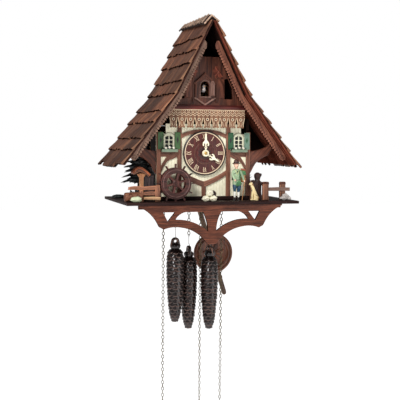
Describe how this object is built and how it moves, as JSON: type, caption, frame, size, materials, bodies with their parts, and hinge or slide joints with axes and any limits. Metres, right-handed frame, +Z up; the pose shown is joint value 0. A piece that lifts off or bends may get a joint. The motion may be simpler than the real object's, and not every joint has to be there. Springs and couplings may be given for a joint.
{
  "type": "cuckoo clock",
  "caption": "Chalet cuckoo clock: shingled roof, half-timbered front, carved dial, mill wheel, swinging pendulum, fir-cone weights on chains and a bird behind a small door.",
  "frame": {"origin": "centre of the hanging hole, on the plane of the wall", "axes": "+X to the right as seen from the front, +Y into the wall, +Z up; the dial faces -Y"},
  "size_m": [0.3996, 0.227, 0.8717],
  "materials": {
    "stained_wood": "stained",
    "case_wood": "stained",
    "cream_wall": "matt paint on wood",
    "timber": "stained",
    "gable_wood": "stained",
    "fringe_wood": "carved",
    "dark_wood": "stained",
    "bracket_wood": "stained",
    "shingle": "split",
    "barge_wood": "stained",
    "window_paint": "painted",
    "shutter_paint": "painted",
    "dial_wood": "varnished",
    "inlay": "satin",
    "ivory": "satin",
    "brass": "satin",
    "mill_wood": "stained",
    "bird_paint": "painted",
    "stone_paint": "painted",
    "foliage": "painted",
    "fence_wood": "stained",
    "figure_paint": "painted",
    "dog_paint": "painted",
    "steel": "brushed",
    "bob_wood": "turned, varnished",
    "pale_wood": "plain",
    "cone_iron": "cast, lacquered dark brown",
    "chain_metal": "aged"
  },
  "bodies": {
    "clock_case": {"back_frame": "stained_wood", "hanger_plate": "steel", "case_sides": "case_wood", "front_wall": "cream_wall", "timber_frame": "timber", "gable_panel": "gable_wood", "bird_surround": "gable_wood", "fringe_board": "fringe_wood", "platform": "dark_wood", "front_bracket": "bracket_wood", "roof_boards": "dark_wood", "shingles_left": "shingle", "shingles_right": "shingle", "ridge_cap": "shingle", "barge_boards": "barge_wood", "knee_braces": "case_wood", "window_frames": "window_paint", "shutters": "shutter_paint", "flower_boxes": "shutter_paint", "dial": "dial_wood", "dial_inlay": "inlay", "stones": "stone_paint", "trees": "foliage", "fences": "fence_wood", "shrine": "fence_wood", "wanderer_figure": "figure_paint", "dog_figure": "dog_paint", "movement_frame": "brass", "whistle_boxes": "pale_wood", "gong": "steel"},
    "minute_train": {"minute_arbor": "steel", "minute_hand": "ivory", "hand_nut": "brass"},
    "motion_work": {"motion_wheel": "brass"},
    "hour_train": {"hour_wheel": "brass", "hour_hand": "ivory"},
    "escapement": {"escape_wheel": "brass"},
    "pendulum": {"pendulum_leader": "steel", "pendulum_rod": "bob_wood", "pendulum_bob": "bob_wood"},
    "mill": {"mill_wheel": "mill_wood"},
    "music_drum": {"music_cylinder": "brass"},
    "cuckoo": {"cuckoo_bird": "bird_paint"},
    "bird_door": {"cuckoo_door": "gable_wood"},
    "rear_door": {"back_door": "stained_wood"},
    "left_lid": {"bellows_lid_left": "pale_wood"},
    "right_lid": {"bellows_lid_right": "pale_wood"},
    "hammer": {"gong_hammer": "steel"},
    "sprocket_left": {"chain_wheel_left": "brass"},
    "hanging_weight_left": {"weight_left": "cone_iron", "weight_chain_left": "chain_metal"},
    "slack_chain_left": {"free_chain_left": "chain_metal"},
    "sprocket_middle": {"chain_wheel_middle": "brass"},
    "hanging_weight_middle": {"weight_middle": "cone_iron", "weight_chain_middle": "chain_metal"},
    "slack_chain_middle": {"free_chain_middle": "chain_metal"},
    "sprocket_right": {"chain_wheel_right": "brass"},
    "hanging_weight_right": {"weight_right": "cone_iron", "weight_chain_right": "chain_metal"},
    "slack_chain_right": {"free_chain_right": "chain_metal"}
  },
  "joints": [
    {"name": "minute_hand_turn", "type": "hinge", "parent": "clock_case", "child": "minute_train", "pos_m": [0, -0.175, -0.185], "axis": [0, 1, 0], "continuous": true},
    {"name": "motion_wheel_turn", "type": "hinge", "parent": "clock_case", "child": "motion_work", "pos_m": [0.00849, -0.145, -0.17651], "axis": [0, 1, 0], "continuous": true},
    {"name": "hour_hand_turn", "type": "hinge", "parent": "clock_case", "child": "hour_train", "pos_m": [0, -0.172, -0.185], "axis": [0, 1, 0], "continuous": true},
    {"name": "escape_wheel_turn", "type": "hinge", "parent": "clock_case", "child": "escapement", "pos_m": [0, -0.039, -0.183], "axis": [0, 1, 0], "continuous": true},
    {"name": "pendulum_swing", "type": "hinge", "parent": "clock_case", "child": "pendulum", "pos_m": [0, -0.03, -0.21], "axis": [0, 1, 0], "range_deg": [0, 35.2]},
    {"name": "mill_wheel_turn", "type": "hinge", "parent": "clock_case", "child": "mill", "pos_m": [-0.069, -0.184, -0.248], "axis": [0, 1, 0], "continuous": true},
    {"name": "music_cylinder_turn", "type": "hinge", "parent": "clock_case", "child": "music_drum", "pos_m": [0, -0.12, -0.144], "axis": [1, 0, 0], "continuous": true},
    {"name": "cuckoo_slide", "type": "slide", "parent": "clock_case", "child": "cuckoo", "axis": [0, -1, 0], "range_m": [-0.026, 0]},
    {"name": "cuckoo_door_hinge", "type": "hinge", "parent": "clock_case", "child": "bird_door", "pos_m": [0.0106, -0.1676, -0.05], "axis": [0, 0, 1], "range_deg": [-100, 0]},
    {"name": "back_door_hinge", "type": "hinge", "parent": "clock_case", "child": "rear_door", "pos_m": [-0.078, 0, -0.201], "axis": [0, 0, 1], "range_deg": [0, 110]},
    {"name": "bellows_left_lift", "type": "hinge", "parent": "clock_case", "child": "left_lid", "pos_m": [-0.089, -0.058, -0.1347], "axis": [-1, 0, 0], "range_deg": [0, 22]},
    {"name": "bellows_right_lift", "type": "hinge", "parent": "clock_case", "child": "right_lid", "pos_m": [0.089, -0.058, -0.1347], "axis": [-1, 0, 0], "range_deg": [0, 22]},
    {"name": "gong_hammer_strike", "type": "hinge", "parent": "clock_case", "child": "hammer", "pos_m": [0.03, -0.015, -0.19], "axis": [0, 1, 0], "range_deg": [0, 18]},
    {"name": "weight_left_drop", "type": "slide", "parent": "clock_case", "child": "hanging_weight_left", "axis": [0, 0, 1], "range_m": [-0.06, 0.06]},
    {"name": "slack_left_rise", "type": "slide", "parent": "clock_case", "child": "slack_chain_left", "axis": [0, 0, 1], "range_m": [-0.06, 0.06]},
    {"name": "sprocket_left_turn", "type": "hinge", "parent": "clock_case", "child": "sprocket_left", "pos_m": [-0.0576, -0.097, -0.215], "axis": [0, 1, 0], "range_deg": [-300, 300]},
    {"name": "weight_middle_drop", "type": "slide", "parent": "clock_case", "child": "hanging_weight_middle", "axis": [0, 0, 1], "range_m": [-0.06, 0.06]},
    {"name": "slack_middle_rise", "type": "slide", "parent": "clock_case", "child": "slack_chain_middle", "axis": [0, 0, 1], "range_m": [-0.06, 0.06]},
    {"name": "sprocket_middle_turn", "type": "hinge", "parent": "clock_case", "child": "sprocket_middle", "pos_m": [0.0082, -0.072, -0.215], "axis": [0, 1, 0], "range_deg": [-300, 300]},
    {"name": "weight_right_drop", "type": "slide", "parent": "clock_case", "child": "hanging_weight_right", "axis": [0, 0, 1], "range_m": [-0.06, 0.06]},
    {"name": "slack_right_rise", "type": "slide", "parent": "clock_case", "child": "slack_chain_right", "axis": [0, 0, 1], "range_m": [-0.06, 0.06]},
    {"name": "sprocket_right_turn", "type": "hinge", "parent": "clock_case", "child": "sprocket_right", "pos_m": [0.049, -0.097, -0.215], "axis": [0, 1, 0], "range_deg": [-300, 300]}
  ],
  "couplings": [
    {"joint": "motion_wheel_turn", "follows": "minute_hand_turn", "ratio": -0.33333},
    {"joint": "hour_hand_turn", "follows": "minute_hand_turn", "ratio": 0.083333},
    {"joint": "music_cylinder_turn", "follows": "mill_wheel_turn", "ratio": 0.25},
    {"joint": "cuckoo_door_hinge", "follows": "cuckoo_slide", "rad_per_m": 67.128},
    {"joint": "slack_left_rise", "follows": "weight_left_drop", "ratio": -1},
    {"joint": "sprocket_left_turn", "follows": "weight_left_drop", "rad_per_m": -73.529},
    {"joint": "slack_middle_rise", "follows": "weight_middle_drop", "ratio": -1},
    {"joint": "sprocket_middle_turn", "follows": "weight_middle_drop", "rad_per_m": 73.529},
    {"joint": "slack_right_rise", "follows": "weight_right_drop", "ratio": -1},
    {"joint": "sprocket_right_turn", "follows": "weight_right_drop", "rad_per_m": 73.529}
  ]
}
